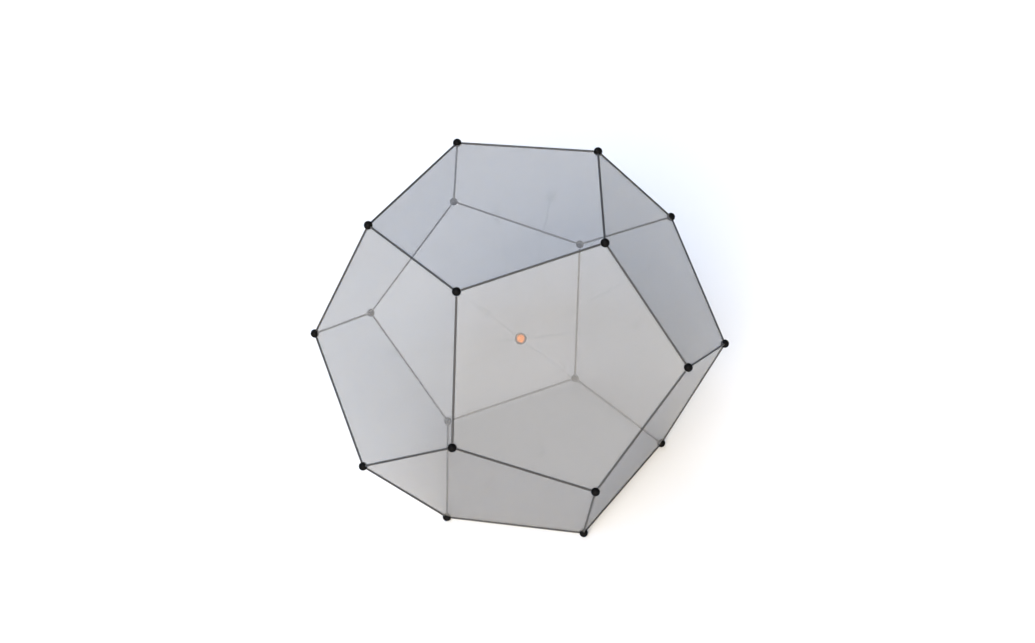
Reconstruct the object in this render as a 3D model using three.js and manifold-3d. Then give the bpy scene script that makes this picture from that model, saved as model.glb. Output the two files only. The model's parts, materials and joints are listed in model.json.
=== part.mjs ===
// A face-turning puzzle in the shape of a regular dodecahedron. Twelve smoked clear panels are its
// centres, thirty thin steel bars its edges and twenty magnetic balls its corners. A spider of twelve
// clear arms holds the panels from an orange core. A layer is one panel with the five bars and five
// balls round it, and it turns about the panel's own axis. Millimetres, +Z up, with the origin on the
// surface that the puzzle stands on, under its centre.
import * as THREE from "three";
import { mergeVertices } from "three/addons/utils/BufferGeometryUtils.js";
import Module from "manifold-3d";

// Driving dimensions.
const EDGE = 60; // from corner to corner along a bar
const BALL_RADIUS = 1.75;
const BAR_RADIUS = 0.42;
const PANEL_THICKNESS = 0.4;
const CORE_RADIUS = 2.45;
const CORE_WALL = 0.85;
const ARM_RADIUS = 0.55;
const ARM_HEAD_RADIUS = 1.0;
const HUB_RADIUS = 1.3; // where the arms meet inside the core
const SOCKET_RADIUS = 2.1; // the boss inside each panel that holds an arm's head
const SOCKET_DEPTH = 4.0; // from the panel's outer face to the boss's end
const HEAD_DEPTH = 2.4; // from the panel's outer face to the centre of the arm's head

// Clearances.
const CUT_GAP = 0.14; // between a turning panel and the edges of the panels round it
const BALL_GAP = 0.2; // round each ball, at rest and as it travels
const PIVOT_GAP = 0.3; // round an arm and its head

// The regular dodecahedron of that edge.
const GOLDEN = (1 + Math.sqrt(5)) / 2;
const FIFTH = (2 * Math.PI) / 5;
const INRADIUS = (EDGE * GOLDEN * GOLDEN) / (2 * Math.sqrt(3 - GOLDEN)); // centre to face
const CIRCUMRADIUS = (EDGE * GOLDEN * Math.sqrt(3)) / 2; // centre to corner
const FACE_RADIUS = EDGE / (2 * Math.sin(FIFTH / 2)); // face centre to corner
const NEIGHBOUR_COSINE = 1 / Math.sqrt(5); // between the normals of two faces that share a bar
const NEIGHBOUR_ANGLE = Math.acos(NEIGHBOUR_COSINE);
const CUT_DEPTH = PANEL_THICKNESS + CUT_GAP; // how far below its face a layer is cut free

// Facets.
const BALL_SIDES = 12;
const BALL_BANDS = 6;
const BAR_SIDES = 8;
const ARM_SIDES = 8;
const SOCKET_SIDES = 16;
const SWEEP_SIDES = 10;
const SWEEP_STEPS = 60;

// Faces go round the vertical axis in two rings of five, the lower ring half a step on.
const UPPER_FACES = ["front", "right", "back_right", "back_left", "left"];
const LOWER_FACES = ["low_front_right", "low_right", "low_back", "low_left", "low_front_left"];
const FRONT_AZIMUTH = -Math.PI / 2;
const TURNING_FACES = ["top", "low_front_right", "low_left"];

const Z_AXIS = new THREE.Vector3(0, 0, 1);
const wasm = await Module();
wasm.setup();

const materials = {
  panel: new THREE.MeshStandardMaterial({
    color: 0x9b9da1,
    roughness: 0.25,
    metalness: 0,
    transparent: true,
    opacity: 0.6,
  }),
  bar: new THREE.MeshStandardMaterial({ color: 0x4a4b4d, roughness: 0.4, metalness: 0.9 }),
  ball: new THREE.MeshStandardMaterial({ color: 0x0c0c0d, roughness: 0.35, metalness: 0.3 }),
  core: new THREE.MeshStandardMaterial({ color: 0xff9830, roughness: 0.35, metalness: 0 }),
  arm: new THREE.MeshStandardMaterial({
    color: 0xf2f4f6,
    roughness: 0.08,
    metalness: 0,
    transparent: true,
    opacity: 0.15,
  }),
};

// A closed three.js geometry as a solid that can be joined and cut.
function solidOf(geometry) {
  const bare = geometry.clone();
  bare.deleteAttribute("normal");
  bare.deleteAttribute("uv");
  const merged = mergeVertices(bare);
  return new wasm.Manifold(
    new wasm.Mesh({
      numProp: 3,
      vertProperties: merged.attributes.position.array,
      triVerts: new Uint32Array(merged.index.array),
    }),
  );
}

// A solid back as a geometry with flat facets.
function geometryOf(solid) {
  const mesh = solid.getMesh();
  const shared = new THREE.BufferGeometry();
  shared.setAttribute("position", new THREE.BufferAttribute(mesh.vertProperties, 3));
  shared.setIndex(new THREE.BufferAttribute(mesh.triVerts, 1));
  const flat = shared.toNonIndexed();
  flat.computeVertexNormals();
  return flat;
}

// A cylinder about the Z axis between two heights.
function upright(radius, low, high, sides) {
  const geometry = new THREE.CylinderGeometry(radius, radius, high - low, sides);
  geometry.rotateX(Math.PI / 2);
  geometry.translate(0, 0, (low + high) / 2);
  return geometry;
}

// A ball with its poles on the Z axis.
function ball(radius, height = 0) {
  const geometry = new THREE.SphereGeometry(radius, BALL_SIDES, BALL_BANDS);
  geometry.rotateX(Math.PI / 2);
  geometry.translate(0, 0, height);
  return geometry;
}

function direction(polar, azimuth) {
  return new THREE.Vector3(
    Math.sin(polar) * Math.cos(azimuth),
    Math.sin(polar) * Math.sin(azimuth),
    Math.cos(polar),
  );
}

function turned(geometry, normal) {
  return geometry
    .clone()
    .applyQuaternion(new THREE.Quaternion().setFromUnitVectors(Z_AXIS, normal));
}

// The twelve faces, each with its name and outward normal.
function faceList() {
  const faces = [{ name: "top", normal: direction(0, 0) }];
  UPPER_FACES.forEach((name, i) => {
    faces.push({ name, normal: direction(NEIGHBOUR_ANGLE, FRONT_AZIMUTH + i * FIFTH) });
  });
  LOWER_FACES.forEach((name, i) => {
    const azimuth = FRONT_AZIMUTH + (i + 0.5) * FIFTH;
    faces.push({ name, normal: direction(Math.PI - NEIGHBOUR_ANGLE, azimuth) });
  });
  faces.push({ name: "bottom", normal: direction(Math.PI, 0) });
  return faces;
}

function areNeighbours(a, b) {
  return Math.abs(a.normal.dot(b.normal) - NEIGHBOUR_COSINE) < 0.01;
}

// A corner is where three faces meet that are each other's neighbours.
function cornerList(faces) {
  const corners = [];
  faces.forEach((a, i) =>
    faces.slice(i + 1).forEach((b, j) =>
      faces.slice(i + j + 2).forEach((c) => {
        if (!areNeighbours(a, b) || !areNeighbours(b, c) || !areNeighbours(a, c)) return;
        const place = a.normal.clone().add(b.normal).add(c.normal).setLength(CIRCUMRADIUS);
        corners.push({ faces: [a, b, c], place });
      }),
    ),
  );
  return corners;
}

// An edge is where two neighbours meet, and it runs between the two corners that they share.
function edgeList(faces, corners) {
  const edges = [];
  faces.forEach((a, i) =>
    faces.slice(i + 1).forEach((b) => {
      if (!areNeighbours(a, b)) return;
      const ends = corners.filter((c) => c.faces.includes(a) && c.faces.includes(b));
      edges.push({ faces: [a, b], ends });
    }),
  );
  return edges;
}

function nameOf(kind, faces) {
  return [kind, ...faces.map((face) => face.name)].join("_");
}

// The room that a layer about +Z passes through: a disc above its cut, and the ring its balls trace.
function layerSweep() {
  const tube = BALL_RADIUS + BALL_GAP;
  const floor = INRADIUS - CUT_DEPTH;
  const disc = upright(FACE_RADIUS + tube, floor, INRADIUS + EDGE, SWEEP_STEPS);
  const ring = new THREE.TorusGeometry(FACE_RADIUS, tube, SWEEP_SIDES, SWEEP_STEPS);
  ring.translate(0, 0, INRADIUS);
  return solidOf(disc).add(solidOf(ring));
}

// A pentagonal plate about +Z with a corner towards +X, before its neighbours' sweeps trim it.
function plate() {
  const outline = new THREE.Shape();
  for (let i = 0; i < 5; i++) {
    const x = FACE_RADIUS * Math.cos(i * FIFTH);
    const y = FACE_RADIUS * Math.sin(i * FIFTH);
    if (i === 0) outline.moveTo(x, y);
    else outline.lineTo(x, y);
  }
  outline.closePath();
  const geometry = new THREE.ExtrudeGeometry(outline, {
    depth: PANEL_THICKNESS,
    bevelEnabled: false,
  });
  geometry.translate(0, 0, INRADIUS - PANEL_THICKNESS);
  return geometry;
}

// A panel about +Z: the plate with a socket inside, trimmed so that every neighbour can turn.
function panelGeometry() {
  const bossEnd = INRADIUS - SOCKET_DEPTH;
  const boss = upright(SOCKET_RADIUS, bossEnd, INRADIUS - PANEL_THICKNESS / 2, SOCKET_SIDES);
  const cavity = ball(ARM_HEAD_RADIUS + PIVOT_GAP, INRADIUS - HEAD_DEPTH);
  const mouth = upright(ARM_RADIUS + PIVOT_GAP, bossEnd - 1, INRADIUS - HEAD_DEPTH, SOCKET_SIDES);
  const sweep = layerSweep();
  let panel = solidOf(plate()).add(solidOf(boss)).subtract(solidOf(cavity)).subtract(solidOf(mouth));
  for (let i = 0; i < 5; i++) {
    const neighbour = direction(NEIGHBOUR_ANGLE, (i + 0.5) * FIFTH);
    panel = panel.subtract(solidOf(turned(geometryOf(sweep), neighbour)));
  }
  return geometryOf(panel);
}

// The twelve arms and their round heads, grown from one hub.
function spiderGeometry(faces) {
  const headHeight = INRADIUS - HEAD_DEPTH;
  const rod = solidOf(upright(ARM_RADIUS, 0, headHeight, ARM_SIDES));
  const arm = geometryOf(rod.add(solidOf(ball(ARM_HEAD_RADIUS, headHeight))));
  let spider = solidOf(ball(HUB_RADIUS));
  faces.forEach((face) => {
    spider = spider.add(solidOf(turned(arm, face.normal)));
  });
  return geometryOf(spider);
}

// The core: a hollow ball moulded round the hub, with a hole for each arm.
function coreGeometry(faces) {
  const hole = upright(ARM_RADIUS + PIVOT_GAP, 0, 2 * CORE_RADIUS, ARM_SIDES);
  let core = solidOf(ball(CORE_RADIUS)).subtract(solidOf(ball(CORE_RADIUS - CORE_WALL)));
  faces.forEach((face) => {
    core = core.subtract(solidOf(turned(hole, face.normal)));
  });
  return geometryOf(core);
}

// A bar along +Z between two distances from the middle of its edge.
function barGeometry(low, high) {
  return upright(BAR_RADIUS, low, high, BAR_SIDES);
}

function addMesh(parent, name, geometry, material) {
  const mesh = new THREE.Mesh(geometry, material);
  mesh.name = name;
  parent.add(mesh);
  return mesh;
}

// Turns a panel made about +Z with a corner towards +X to a face and one of that face's corners.
function placePanel(mesh, face, corner) {
  const outward = face.normal;
  const toCorner = corner.place.clone().projectOnPlane(outward).normalize();
  const across = outward.clone().cross(toCorner);
  const basis = new THREE.Matrix4().makeBasis(toCorner, across, outward);
  mesh.quaternion.setFromRotationMatrix(basis);
}

function placeBar(mesh, edge) {
  const [start, end] = edge.ends.map((corner) => corner.place);
  mesh.position.addVectors(start, end).multiplyScalar(0.5);
  mesh.quaternion.setFromUnitVectors(Z_AXIS, end.clone().sub(start).normalize());
}

const faces = faceList();
const corners = cornerList(faces);
const edges = edgeList(faces, corners);

const puzzle = new THREE.Group();
puzzle.name = "puzzle";
puzzle.position.z = INRADIUS + BALL_RADIUS;
const layers = new Map();
["fixed", ...TURNING_FACES].forEach((name) => {
  const layer = new THREE.Group();
  layer.name = name + "_layer";
  layers.set(name, layer);
  puzzle.add(layer);
});

// The group of a piece: that of the turning face it touches, or the fixed one.
function layerOf(itsFaces) {
  const turning = itsFaces.find((face) => TURNING_FACES.includes(face.name));
  return layers.get(turning ? turning.name : "fixed");
}

const panel = panelGeometry();
faces.forEach((face) => {
  const mesh = addMesh(layerOf([face]), nameOf("panel", [face]), panel, materials.panel);
  const corner = corners.find((c) => c.faces.includes(face));
  placePanel(mesh, face, corner);
});

const fixedCorners = corners.filter((corner) => layerOf(corner.faces) === layers.get("fixed"));
const movingCorners = corners.filter((corner) => !fixedCorners.includes(corner));
const plainBall = ball(BALL_RADIUS);
movingCorners.forEach((corner) => {
  const name = nameOf("ball", corner.faces);
  const mesh = addMesh(layerOf(corner.faces), name, plainBall, materials.ball);
  mesh.position.copy(corner.place);
});

// Each corner that no turning layer carries is one piece with a bar beside it.
const barReach = EDGE / 2 - BALL_RADIUS - BALL_GAP;
const plainBar = barGeometry(-barReach, barReach);
const joined = new Map();
fixedCorners.forEach((corner) => {
  const free = edges.find((edge) => {
    const fixed = layerOf(edge.faces) === layers.get("fixed");
    return fixed && edge.ends.includes(corner) && !joined.has(edge);
  });
  joined.set(free, corner);
});
edges.forEach((edge) => {
  const corner = joined.get(edge);
  if (!corner) {
    const name = nameOf("bar", edge.faces);
    placeBar(addMesh(layerOf(edge.faces), name, plainBar, materials.bar), edge);
    return;
  }
  const side = corner === edge.ends[1] ? 1 : -1;
  const low = side > 0 ? -barReach : -EDGE / 2;
  const high = side > 0 ? EDGE / 2 : barReach;
  const rod = solidOf(barGeometry(low, high));
  const geometry = geometryOf(rod.add(solidOf(ball(BALL_RADIUS, (side * EDGE) / 2))));
  const name = nameOf("bar_with_ball", edge.faces);
  placeBar(addMesh(layerOf(edge.faces), name, geometry, materials.bar), edge);
});

addMesh(layers.get("fixed"), "core_ball", coreGeometry(faces), materials.core);
addMesh(layers.get("fixed"), "core_spider", spiderGeometry(faces), materials.arm);

export default puzzle;
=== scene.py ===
"""The looks of a face-turning dodecahedron puzzle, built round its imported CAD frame, in metres.

Twelve smoked panels, thirty thin steel bars, twenty black magnetic balls, an orange core and a clear spider.
"""

import json
import math

import bmesh
import bpy
from mathutils import Matrix, Quaternion, Vector

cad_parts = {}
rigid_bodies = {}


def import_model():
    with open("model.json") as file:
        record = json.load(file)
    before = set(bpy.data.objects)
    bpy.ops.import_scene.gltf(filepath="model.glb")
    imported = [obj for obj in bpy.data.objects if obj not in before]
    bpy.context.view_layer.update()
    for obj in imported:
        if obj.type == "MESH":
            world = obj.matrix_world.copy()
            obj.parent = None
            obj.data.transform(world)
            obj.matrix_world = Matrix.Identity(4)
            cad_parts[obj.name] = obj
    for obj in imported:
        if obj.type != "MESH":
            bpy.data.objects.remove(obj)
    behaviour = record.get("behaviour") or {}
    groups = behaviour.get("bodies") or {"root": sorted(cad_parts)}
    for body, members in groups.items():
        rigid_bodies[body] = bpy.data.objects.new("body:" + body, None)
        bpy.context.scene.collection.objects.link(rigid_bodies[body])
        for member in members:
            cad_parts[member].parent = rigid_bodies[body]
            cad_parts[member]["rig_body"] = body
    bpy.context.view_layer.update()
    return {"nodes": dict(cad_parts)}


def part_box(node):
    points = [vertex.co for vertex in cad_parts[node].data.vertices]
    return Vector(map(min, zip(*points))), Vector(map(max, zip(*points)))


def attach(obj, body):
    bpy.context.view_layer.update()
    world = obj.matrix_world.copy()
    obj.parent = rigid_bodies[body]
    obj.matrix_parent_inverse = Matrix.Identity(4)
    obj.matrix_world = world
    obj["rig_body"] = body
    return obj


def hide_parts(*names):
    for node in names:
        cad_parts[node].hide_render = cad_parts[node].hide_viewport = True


MM = 0.001
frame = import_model()

# ---------------------------------------------------------------- the frame's driving dimensions
GOLDEN = (1 + math.sqrt(5)) / 2
FIFTH = 2 * math.pi / 5
TOP_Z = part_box("panel_top")[1].z
BOTTOM_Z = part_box("panel_bottom")[0].z
INRADIUS = (TOP_Z - BOTTOM_Z) / 2
CENTRE = Vector((0, 0, (TOP_Z + BOTTOM_Z) / 2))
EDGE = INRADIUS * 2 * math.sqrt(3 - GOLDEN) / GOLDEN**2
CIRCUMRADIUS = EDGE * GOLDEN * math.sqrt(3) / 2
FACE_RADIUS = EDGE / (2 * math.sin(FIFTH / 2))
NEIGHBOUR_COSINE = 1 / math.sqrt(5)
NEIGHBOUR_ANGLE = math.acos(NEIGHBOUR_COSINE)
COSINE_SLACK = 0.01


def half_width(node):
    low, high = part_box(node)
    return (high.x - low.x) / 2


BALL_RADIUS = half_width("ball_top_front_left")
CORE_RADIUS = half_width("core_ball")
SOCKET_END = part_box("panel_top")[1].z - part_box("panel_top")[0].z
BAR_RADIUS = 0.42 * MM
PANEL_THICKNESS = 0.4 * MM
CUT_DEPTH = 0.54 * MM  # how far below a face the neighbouring panels stop
BALL_GAP = 0.12 * MM  # between a ball and the panels and bars round it
ARM_RADIUS = 0.55 * MM
HEAD_RADIUS = 1.0 * MM
HEAD_DEPTH = 2.4 * MM  # from a panel's outer face to the centre of an arm's head
SOCKET_RADIUS = 2.1 * MM
PIVOT_GAP = 0.3 * MM
WELD_GAP = 0.02 * MM  # keeps a socket's flat top off its panel's inner face

UPPER_FACES = ["front", "right", "back_right", "back_left", "left"]
LOWER_FACES = ["low_front_right", "low_right", "low_back", "low_left", "low_front_left"]
FRONT_AZIMUTH = -math.pi / 2


def direction(polar, azimuth):
    flat = math.sin(polar)
    return Vector((flat * math.cos(azimuth), flat * math.sin(azimuth), math.cos(polar)))


def face_list():
    """The twelve faces as (name, outward normal), in the order that the CAD names use."""
    faces = [("top", direction(0, 0))]
    for i, name in enumerate(UPPER_FACES):
        faces.append((name, direction(NEIGHBOUR_ANGLE, FRONT_AZIMUTH + i * FIFTH)))
    for i, name in enumerate(LOWER_FACES):
        azimuth = FRONT_AZIMUTH + (i + 0.5) * FIFTH
        faces.append((name, direction(math.pi - NEIGHBOUR_ANGLE, azimuth)))
    faces.append(("bottom", direction(math.pi, 0)))
    return faces


def neighbours(a, b):
    return abs(a[1].dot(b[1]) - NEIGHBOUR_COSINE) < COSINE_SLACK


def corner_list(faces):
    """The twenty corners as (three faces, place), measured from the centre."""
    corners = []
    for i, a in enumerate(faces):
        for j, b in enumerate(faces[i + 1 :], i + 1):
            for c in faces[j + 1 :]:
                if neighbours(a, b) and neighbours(b, c) and neighbours(a, c):
                    place = (a[1] + b[1] + c[1]).normalized() * CIRCUMRADIUS
                    corners.append(((a, b, c), place))
    return corners


def edge_list(faces, corners):
    """The thirty edges as (two faces, two end places), measured from the centre."""
    edges = []
    for i, a in enumerate(faces):
        for b in faces[i + 1 :]:
            if neighbours(a, b):
                ends = [place for around, place in corners if a in around and b in around]
                edges.append(((a, b), ends))
    return edges


FACES = face_list()
CORNERS = corner_list(FACES)
EDGES = edge_list(FACES, CORNERS)


def name_of(kind, faces):
    return "_".join([kind] + [name for name, normal in faces])


# ---------------------------------------------------------------- materials
BAR_COORDINATES = "along_bar"
RAMP_START = 0.3
RAMP_END = 0.7
RELIEF_DEPTH = 0.02 * MM


def noise(tree, scale, detail=4.0, stretch=None):
    """A noise of the puzzle's own coordinates or, if stretch is given, of a bar's, drawn out along it."""
    texture = tree.nodes.new("ShaderNodeTexNoise")
    texture.inputs["Scale"].default_value = scale
    texture.inputs["Detail"].default_value = detail
    if stretch is None:
        place = tree.nodes.new("ShaderNodeTexCoord")
        tree.links.new(place.outputs["Object"], texture.inputs["Vector"])
        return texture
    place = tree.nodes.new("ShaderNodeAttribute")
    place.attribute_name = BAR_COORDINATES
    mapping = tree.nodes.new("ShaderNodeMapping")
    mapping.inputs["Scale"].default_value = (1, 1, stretch)
    tree.links.new(place.outputs["Vector"], mapping.inputs["Vector"])
    tree.links.new(mapping.outputs["Vector"], texture.inputs["Vector"])
    return texture


def ramp(tree, source, low, high):
    """The middle of the source's range spread between two colours, or between two grey values."""
    node = tree.nodes.new("ShaderNodeValToRGB")
    node.color_ramp.elements[0].position = RAMP_START
    node.color_ramp.elements[1].position = RAMP_END
    node.color_ramp.elements[0].color = (*low, 1)
    node.color_ramp.elements[1].color = (*high, 1)
    tree.links.new(source.outputs["Fac"], node.inputs["Fac"])
    return node


def material(name, dark, light, rough, mottle, grain, bump, stretch=None, **sockets):
    """A principled material: dark to light by mottling, roughness between two values, a fine grain as bump.
    What else is given sets the shader's sockets of those names."""
    made = bpy.data.materials.new(name)
    made.use_nodes = True
    tree = made.node_tree
    shader = tree.nodes["Principled BSDF"]
    broad = noise(tree, mottle, stretch=stretch)
    colour = ramp(tree, broad, dark, light)
    tree.links.new(colour.outputs["Color"], shader.inputs["Base Color"])
    fine = noise(tree, grain, detail=2.0, stretch=stretch)
    shine = ramp(tree, fine, (rough[0],) * 3, (rough[1],) * 3)
    tree.links.new(shine.outputs["Color"], shader.inputs["Roughness"])
    relief = tree.nodes.new("ShaderNodeBump")
    relief.inputs["Strength"].default_value = bump
    relief.inputs["Distance"].default_value = RELIEF_DEPTH
    tree.links.new(fine.outputs["Fac"], relief.inputs["Height"])
    tree.links.new(relief.outputs["Normal"], shader.inputs["Normal"])
    for socket, value in sockets.items():
        shader.inputs[socket.replace("_", " ")].default_value = value
    return made


def panel_material():
    return material(
        "smoked_sheet",
        (0.297, 0.297, 0.303),
        (0.313, 0.313, 0.319),
        (0.42, 0.5),
        mottle=22,
        grain=900,
        bump=0.06,
        Alpha=0.275,
        Specular_IOR_Level=0.25,
    )


def socket_material():
    return material(
        "clear_socket",
        (0.62, 0.63, 0.64),
        (0.67, 0.68, 0.69),
        (0.1, 0.16),
        mottle=300,
        grain=2500,
        bump=0.04,
        Alpha=0.02,
        Specular_IOR_Level=0.2,
    )


def arm_material():
    return material(
        "clear_arm",
        (0.62, 0.63, 0.64),
        (0.67, 0.68, 0.69),
        (0.08, 0.14),
        mottle=200,
        grain=1500,
        bump=0.04,
        Alpha=0.02,
        Specular_IOR_Level=0.2,
    )


def bar_material():
    return material(
        "blued_steel",
        (0.055, 0.055, 0.057),
        (0.07, 0.07, 0.072),
        (0.5, 0.68),
        mottle=900,
        grain=5000,
        bump=0.2,
        stretch=0.03,
        Metallic=0.3,
        Specular_IOR_Level=0.2,
    )


def ball_material():
    return material(
        "black_plating",
        (0.002, 0.002, 0.0021),
        (0.004, 0.004, 0.0042),
        (0.45, 0.6),
        mottle=700,
        grain=4000,
        bump=0.12,
        Specular_IOR_Level=0.05,
    )


def core_material():
    return material(
        "orange_painted_glow",
        (0.95, 0.26, 0.02),
        (1.0, 0.32, 0.03),
        (0.3, 0.42),
        mottle=600,
        grain=3000,
        bump=0.1,
        # The emission is painted glow: the orange core is no lamp, and the glow keeps it bright behind the
        # smoked panels.
        Emission_Color=(1.0, 0.27, 0.0, 1),
        Emission_Strength=8.0,
    )


def shell_material():
    """Dark amber round the bright bead: it is seen through once over the bead and twice round it."""
    return material(
        "dark_amber",
        (0.03, 0.012, 0.004),
        (0.05, 0.02, 0.007),
        (0.25, 0.35),
        mottle=500,
        grain=2500,
        bump=0.05,
        Alpha=0.85,
        Specular_IOR_Level=0.1,
    )


# ---------------------------------------------------------------- mesh building
MERGE_DISTANCE = 1e-7
SHARP_ANGLE = math.radians(30)


def new_piece(name, data, finish, matrix, body, slot, *nodes):
    """A piece with a mesh of its own, which is moved to its place as the CAD nodes are."""
    own = data.copy()
    own.name = name
    own.transform(matrix)
    own.materials.append(finish)
    piece = bpy.data.objects.new(name, own)
    bpy.context.scene.collection.objects.link(piece)
    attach(piece, body)
    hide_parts(*nodes)


def mesh_from(name, vertices, faces):
    """A closed mesh with its normals outward, smooth except at its sharp edges."""
    data = bpy.data.meshes.new(name)
    data.from_pydata(vertices, [], faces)
    data.validate()
    work = bmesh.new()
    work.from_mesh(data)
    bmesh.ops.remove_doubles(work, verts=work.verts, dist=MERGE_DISTANCE)
    bmesh.ops.recalc_face_normals(work, faces=work.faces)
    for face in work.faces:
        face.smooth = True
    for edge in work.edges:
        edge.smooth = edge.calc_face_angle(0) < SHARP_ANGLE
    work.to_mesh(data)
    work.free()
    return data


def smooth_mesh(name, work):
    """The mesh of a bmesh, smooth all over."""
    data = bpy.data.meshes.new(name)
    work.to_mesh(data)
    work.free()
    for polygon in data.polygons:
        polygon.use_smooth = True
    return data


def lathe_rings(profile, angles):
    """Vertices and faces of a closed shape turned about Z. Its profile is of (radius, height), and it starts
    and ends on the axis."""
    vertices, rings = [], []
    for radius, height in profile:
        if radius == 0:
            rings.append([len(vertices)])
            vertices.append((0, 0, height))
            continue
        ring = []
        for angle in angles:
            ring.append(len(vertices))
            vertices.append((radius * math.cos(angle), radius * math.sin(angle), height))
        rings.append(ring)
    faces = []
    for a, b in zip(rings, rings[1:]):
        count = max(len(a), len(b))
        for i in range(count):
            j = (i + 1) % count
            corners = [a[i % len(a)], a[j % len(a)], b[j % len(b)], b[i % len(b)]]
            unique = [v for k, v in enumerate(corners) if v != corners[k - 1]]
            faces.append(unique)
    return vertices, faces


def round_angles(sides):
    return [2 * math.pi * i / sides for i in range(sides)]


def lathe(name, profile, sides):
    return mesh_from(name, *lathe_rings(profile, round_angles(sides)))


def arc(centre, radius, start, end, steps):
    """Points of (radius, height) on an arc, its angles in degrees from the outward direction."""
    points = []
    for i in range(steps + 1):
        angle = math.radians(start + (end - start) * i / steps)
        r = centre[0] + radius * math.cos(angle)
        points.append((max(r, 0), centre[1] + radius * math.sin(angle)))
    return points


# ---------------------------------------------------------------- panels
EDGE_ROUND = 0.08 * MM
RIM_STEPS = 3
CORNER_STEPS = 16
SIDE_STEPS = 8
INNER_SHARES = [0.35, 0.8]  # the radii of the flat rings inside the rim, as shares of it
SOCKET_SIDES = 32


def panel_reach(angle, depth):
    """How far a panel with a corner at angle 0 reaches from its axis, at a depth below its outer face,
    before it meets a neighbour's cut or the room round a corner's ball."""
    from_corner = (angle + FIFTH / 2) % FIFTH - FIFTH / 2
    from_edge = FIFTH / 2 - abs(from_corner)
    room = INRADIUS - CUT_DEPTH - (INRADIUS - depth) * NEIGHBOUR_COSINE
    to_cut = room / (math.sin(NEIGHBOUR_ANGLE) * math.cos(from_edge))
    notch = math.sqrt((BALL_RADIUS + BALL_GAP) ** 2 - depth**2)
    aside = FACE_RADIUS * math.sin(abs(from_corner))
    if aside >= notch:
        return to_cut
    to_ball = FACE_RADIUS * math.cos(from_corner) - math.sqrt(notch**2 - aside**2)
    return min(to_cut, to_ball)


def panel_angles():
    """Angles round a panel, close together at its corners."""
    fine_span = 1.1 * (BALL_RADIUS + BALL_GAP) / FACE_RADIUS
    fine = [fine_span * i / CORNER_STEPS for i in range(CORNER_STEPS + 1)]
    coarse_span = FIFTH / 2 - fine_span
    coarse = [fine_span + coarse_span * i / SIDE_STEPS for i in range(1, SIDE_STEPS + 1)]
    half = fine + coarse
    sector = [-a for a in reversed(half[1:-1])] + half
    return [a + k * FIFTH for k in range(5) for a in sector]


def panel_mesh():
    """A smoked sheet about +Z, its outer face at the inradius, every rim rounded."""
    outer_rim = []
    for i in range(RIM_STEPS + 1):
        turn = math.radians(90 * i / RIM_STEPS)
        outer_rim.append((EDGE_ROUND * (1 - math.sin(turn)), EDGE_ROUND * (1 - math.cos(turn))))
    inner_rim = [(inset, PANEL_THICKNESS - depth) for inset, depth in reversed(outer_rim)]
    levels = outer_rim + [(0, PANEL_THICKNESS / 2)] + inner_rim
    angles = panel_angles()
    reaches = [[panel_reach(a, depth) - inset for a in angles] for inset, depth in levels]
    rings = []
    vertices = []

    def add_ring(height, radii):
        ring = []
        for a, r in zip(angles, radii):
            ring.append(len(vertices))
            vertices.append((r * math.cos(a), r * math.sin(a), height))
        rings.append(ring)

    for share in INNER_SHARES:
        add_ring(INRADIUS, [share * r for r in reaches[0]])
    for (inset, depth), radii in zip(levels, reaches):
        add_ring(INRADIUS - depth, radii)
    for share in reversed(INNER_SHARES):
        add_ring(INRADIUS - PANEL_THICKNESS, [share * r for r in reaches[-1]])
    faces = [list(rings[0])]
    count = len(angles)
    for a, b in zip(rings, rings[1:]):
        for i in range(count):
            j = (i + 1) % count
            faces.append([a[i], b[i], b[j], a[j]])
    faces.append(list(reversed(rings[-1])))
    return mesh_from("panel_sheet", vertices, faces)


def socket_mesh():
    """The round socket welded to a panel's inside, with the cavity that an arm's head turns in."""
    base = INRADIUS - PANEL_THICKNESS - WELD_GAP
    end = INRADIUS - SOCKET_END
    head = INRADIUS - HEAD_DEPTH
    cavity = HEAD_RADIUS + PIVOT_GAP
    mouth = ARM_RADIUS + PIVOT_GAP
    foot = 0.4 * MM
    chamfer = 0.2 * MM
    opening = math.degrees(math.asin(mouth / cavity))
    profile = [(0, base), (SOCKET_RADIUS + foot, base)]
    profile += arc((SOCKET_RADIUS + foot, base - foot), foot, 90, 180, 5)[1:]
    profile += arc((SOCKET_RADIUS - chamfer, end + chamfer), chamfer, 0, -90, 3)
    profile += [(mouth + chamfer, end), (mouth, end + chamfer)]
    profile += arc((0, head), cavity, opening - 90, 90, 12)[:-1] + [(0, head + cavity)]
    return lathe("socket", profile, SOCKET_SIDES)


def face_matrix(normal, corner):
    """Turns a panel made about +Z with a corner towards +X to its face, about the puzzle's centre."""
    towards = (corner - normal * corner.dot(normal)).normalized()
    across = normal.cross(towards)
    turn = Matrix((towards, across, normal)).transposed().to_4x4()
    return Matrix.Translation(CENTRE) @ turn


def make_panels():
    sheet_data = panel_mesh()
    socket_data = socket_mesh()
    sheet_finish = panel_material()
    socket_finish = socket_material()
    for face in FACES:
        name, normal = face
        node = "panel_" + name
        body = frame["nodes"][node]["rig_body"]
        corner = next(place for around, place in CORNERS if face in around)
        matrix = face_matrix(normal, corner)
        new_piece("sheet_" + name, sheet_data, sheet_finish, matrix, body, "panel", node)
        new_piece("socket_" + name, socket_data, socket_finish, matrix, body, "panel", node)


# ---------------------------------------------------------------- bars
WAIST_START = 0.5 * MM  # from a bar's end
WAIST_END = 1.2 * MM
WAIST_SLOPE = 0.2 * MM
BAR_SIDES = 20
BAR_RINGS = 6  # between a bar's middle and its end


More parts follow.
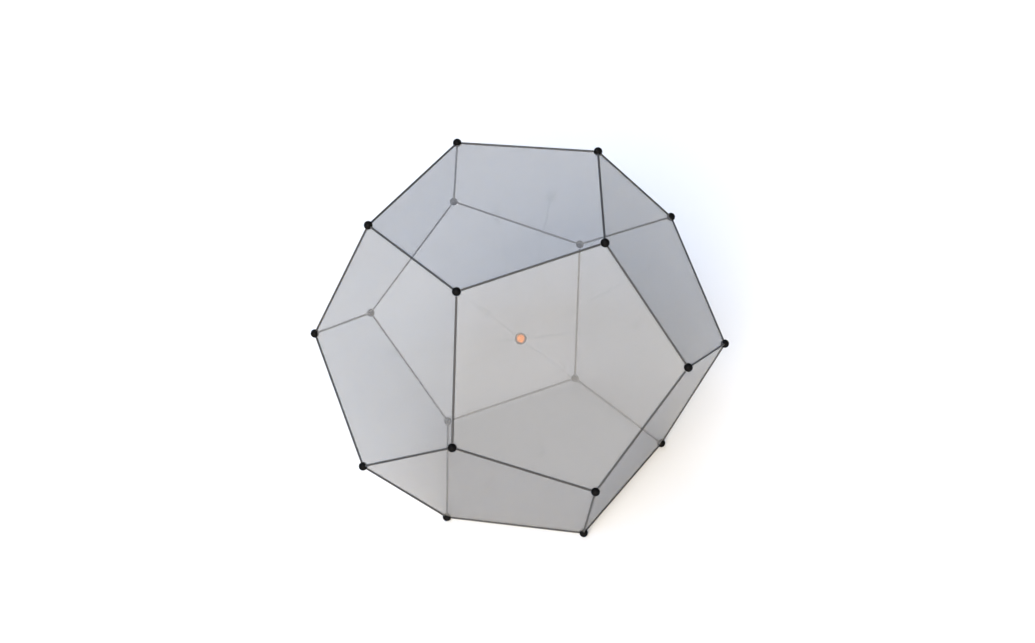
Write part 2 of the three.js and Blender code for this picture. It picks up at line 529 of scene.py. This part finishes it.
def bar_mesh(number):
    """A steel bar along Z with rounded ends and, near each end, a shallow waist. It keeps coordinates along
    itself for its material, moved on by its number so that no two bars look alike."""
    half = EDGE / 2 - BALL_RADIUS - BALL_GAP
    rounding = 0.14 * MM
    waist = 0.03 * MM
    end = [(0, half)] + arc((BAR_RADIUS - rounding, half - rounding), rounding, 90, 0, 4)
    end += [(BAR_RADIUS, half - WAIST_START), (BAR_RADIUS - waist, half - WAIST_START - WAIST_SLOPE)]
    end += [(BAR_RADIUS - waist, half - WAIST_END + WAIST_SLOPE), (BAR_RADIUS, half - WAIST_END)]
    middle = [(BAR_RADIUS, half * k / BAR_RINGS) for k in range(BAR_RINGS - 1, -BAR_RINGS, -1)]
    profile = end + middle + [(r, -z) for r, z in reversed(end)]
    data = lathe("bar", profile, BAR_SIDES)
    coordinates = data.attributes.new(BAR_COORDINATES, "FLOAT_VECTOR", "POINT")
    for vertex, kept in zip(data.vertices, coordinates.data):
        kept.vector = vertex.co + Vector((0, 0, number * EDGE))
    return data


def along(start, end):
    """Puts a shape made along Z between two places measured from the centre."""
    turn = Vector((0, 0, 1)).rotation_difference(end - start)
    return Matrix.Translation(CENTRE + (start + end) / 2) @ turn.to_matrix().to_4x4()


def make_bars():
    finish = bar_material()
    for number, (faces, (start, end)) in enumerate(EDGES):
        node = name_of("bar", faces)
        if node not in frame["nodes"]:
            node = name_of("bar_with_ball", faces)
        body = frame["nodes"][node]["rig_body"]
        name = name_of("edge_bar", faces)
        new_piece(name, bar_mesh(number), finish, along(start, end), body, "bar", node)


# ---------------------------------------------------------------- balls
SEAT_RADIUS = 1.25 * BAR_RADIUS
BALL_SUBDIVISIONS = 4


def holds(node, place):
    """Whether a CAD node's box holds a place."""
    low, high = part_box(node)
    return all(low[k] <= place[k] <= high[k] for k in range(3))


def ball_node(around, place):
    """The CAD node that holds a corner's ball: its own, or that of a bar beside it."""
    node = name_of("ball", around)
    if node in frame["nodes"]:
        return node
    joined = [n for n in frame["nodes"] if n.startswith("bar_with_ball_")]
    return next(n for n in joined if holds(n, CENTRE + place))


def ball_mesh(seats):
    """A ball with a shallow flat seat where each bar's end meets it."""
    work = bmesh.new()
    bmesh.ops.create_icosphere(work, subdivisions=BALL_SUBDIVISIONS, radius=BALL_RADIUS)
    flat = math.sqrt(BALL_RADIUS**2 - SEAT_RADIUS**2)
    for vertex in work.verts:
        for seat in seats:
            height = vertex.co.dot(seat)
            if height > flat:
                vertex.co -= seat * (height - flat)
    return smooth_mesh("ball", work)


def make_balls():
    finish = ball_material()
    for around, place in CORNERS:
        node = ball_node(around, place)
        body = frame["nodes"][node]["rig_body"]
        seats = []
        for faces, ends in EDGES:
            if place in ends:
                other = ends[1] if ends[0] == place else ends[0]
                seats.append((other - place).normalized())
        data = ball_mesh(seats)
        matrix = Matrix.Translation(CENTRE + place)
        new_piece(name_of("corner_ball", around), data, finish, matrix, body, "ball", node)


# ---------------------------------------------------------------- core and spider
BEAD_RADIUS = 0.64 * CORE_RADIUS
ARM_ROOT = 0.58 * CORE_RADIUS
DIMPLE_RADIUS = 1.3 * ARM_RADIUS
BEAD_DIMPLE = 0.12 * MM
SHELL_DIMPLE = 0.1 * MM
CORE_SUBDIVISIONS = 5
ARM_SIDES = 16


def dimpled_ball(name, radius, dimple_depth):
    """A ball with a round dimple where each arm leaves it."""
    work = bmesh.new()
    bmesh.ops.create_icosphere(work, subdivisions=CORE_SUBDIVISIONS, radius=radius)
    for vertex in work.verts:
        unit = vertex.co.normalized()
        for face, normal in FACES:
            away = (unit - normal * unit.dot(normal)).length * radius
            if unit.dot(normal) > 0 and away < DIMPLE_RADIUS:
                dip = 0.5 + 0.5 * math.cos(math.pi * away / DIMPLE_RADIUS)
                vertex.co = unit * (radius - dimple_depth * dip)
    return smooth_mesh(name, work)


def make_core():
    body = frame["nodes"]["core_ball"]["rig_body"]
    place = Matrix.Translation(CENTRE)
    bead = dimpled_ball("core_bead", BEAD_RADIUS, BEAD_DIMPLE)
    shell = dimpled_ball("core_shell", CORE_RADIUS, SHELL_DIMPLE)
    new_piece("core_bead", bead, core_material(), place, body, "core", "core_ball")
    new_piece("core_shell", shell, shell_material(), place, body, "core", "core_ball")


def arm_mesh():
    """One clear arm along +Z from the core to the round head in a panel's socket."""
    flare = 0.2 * MM
    head = INRADIUS - HEAD_DEPTH
    neck = math.degrees(math.acos(ARM_RADIUS / HEAD_RADIUS))
    flare_end = 1.2 * MM
    profile = [(0, ARM_ROOT), (ARM_RADIUS + flare, ARM_ROOT)]
    profile += [(ARM_RADIUS + flare / 3, ARM_ROOT + flare_end / 2), (ARM_RADIUS, ARM_ROOT + flare_end)]
    profile += [(ARM_RADIUS, head / 2)]
    profile += arc((0, head), HEAD_RADIUS, -neck, 90, 10)[:-1] + [(0, head + HEAD_RADIUS)]
    return lathe_rings(profile, round_angles(ARM_SIDES))


def spider_mesh():
    vertices, faces = [], []
    arm_vertices, arm_faces = arm_mesh()
    for name, normal in FACES:
        turn = Vector((0, 0, 1)).rotation_difference(normal)
        start = len(vertices)
        vertices += [tuple(turn @ Vector(v)) for v in arm_vertices]
        faces += [[start + v for v in face] for face in arm_faces]
    return mesh_from("spider", vertices, faces)


def make_spider():
    body = frame["nodes"]["core_spider"]["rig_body"]
    place = Matrix.Translation(CENTRE)
    new_piece("spider", spider_mesh(), arm_material(), place, body, "arm", "core_spider")


# ---------------------------------------------------------------- floor, light and camera
FLOOR_SPAN = 24.0
FLOOR_COLOUR = (0.91, 0.895, 0.875, 1)
SUN_SOFTNESS = math.radians(50)
FILL_LIGHT = 0.04
CAMERA_DISTANCE = 15.55 * EDGE
CAMERA_AZIMUTH = math.radians(-12.34)
CAMERA_ELEVATION = math.radians(39.57)
CAMERA_ROLL = math.radians(10.5)
AIM_RISE = 0.153 * EDGE  # how far above the puzzle's centre the camera looks
CAMERA_LENS = 79.2
CAMERA_SENSOR = 36


def make_floor():
    half = FLOOR_SPAN / 2
    corners = [(-half, -half, 0), (half, -half, 0), (half, half, 0), (-half, half, 0)]
    data = bpy.data.meshes.new("floor")
    data.from_pydata(corners, [], [(0, 1, 2, 3)])
    finish = bpy.data.materials.new("pale_floor")
    finish.use_nodes = True
    shader = finish.node_tree.nodes["Principled BSDF"]
    shader.inputs["Base Color"].default_value = FLOOR_COLOUR
    shader.inputs["Roughness"].default_value = 0.9
    shader.inputs["Specular IOR Level"].default_value = 0.1
    data.materials.append(finish)
    floor = bpy.data.objects.new("floor", data)
    bpy.context.scene.collection.objects.link(floor)


def towards_source(azimuth, elevation):
    """The direction from the puzzle to a light or the camera. Azimuth 0 is in front (-Y), 90 on the right."""
    flat = math.cos(elevation)
    return Vector((math.sin(azimuth) * flat, -math.cos(azimuth) * flat, math.sin(elevation)))


def make_sun(name, azimuth, elevation, strength, colour):
    """A soft sun, its azimuth and elevation in degrees."""
    light = bpy.data.lights.new(name, "SUN")
    light.energy = strength
    light.color = colour
    light.angle = SUN_SOFTNESS
    lamp = bpy.data.objects.new(name, light)
    source = towards_source(math.radians(azimuth), math.radians(elevation))
    lamp.rotation_euler = source.to_track_quat("Z", "Y").to_euler()
    lamp.location = CENTRE + source
    bpy.context.scene.collection.objects.link(lamp)


def make_world():
    """White behind everything that the camera sees past the floor, with a faint even light from all round."""
    world = bpy.data.worlds.new("studio")
    bpy.context.scene.world = world
    world.use_nodes = True
    tree = world.node_tree
    seen = tree.nodes["Background"]
    seen.inputs["Color"].default_value = (1, 1, 1, 1)
    seen.inputs["Strength"].default_value = 1.0
    lit = tree.nodes.new("ShaderNodeBackground")
    lit.inputs["Color"].default_value = (1, 1, 1, 1)
    lit.inputs["Strength"].default_value = FILL_LIGHT
    path = tree.nodes.new("ShaderNodeLightPath")
    mix = tree.nodes.new("ShaderNodeMixShader")
    tree.links.new(path.outputs["Is Camera Ray"], mix.inputs[0])
    tree.links.new(lit.outputs[0], mix.inputs[1])
    tree.links.new(seen.outputs[0], mix.inputs[2])
    tree.links.new(mix.outputs[0], tree.nodes["World Output"].inputs["Surface"])


def make_light():
    """A cool light high on the left, a warm lower one in front and a weak cool one behind."""
    make_world()
    make_sun("high", -34, 50, 2.7, (0.38, 0.6, 1.0))
    make_sun("front", -23, 26, 5.2, (1.0, 0.84, 0.57))
    make_sun("behind", -175, 52, 1.4, (0.76, 0.84, 1.0))


def make_camera():
    """A camera in front of the puzzle, a little to its left and above it, which leans to one side."""
    data = bpy.data.cameras.new("camera")
    data.sensor_width = CAMERA_SENSOR
    data.lens = CAMERA_LENS
    camera = bpy.data.objects.new("camera", data)
    camera.location = CENTRE + towards_source(CAMERA_AZIMUTH, CAMERA_ELEVATION) * CAMERA_DISTANCE
    forward = CENTRE + Vector((0, 0, AIM_RISE)) - camera.location
    aim = forward.to_track_quat("-Z", "Y")
    camera.rotation_mode = "QUATERNION"
    camera.rotation_quaternion = aim @ Quaternion((0, 0, 1), -CAMERA_ROLL)
    bpy.context.scene.collection.objects.link(camera)
    bpy.context.scene.camera = camera


make_panels()
make_bars()
make_balls()
make_core()
make_spider()
make_floor()
make_light()
make_camera()

scene = bpy.context.scene
scene.view_settings.view_transform = "Standard"
scene.cycles.transparent_max_bounces = 48
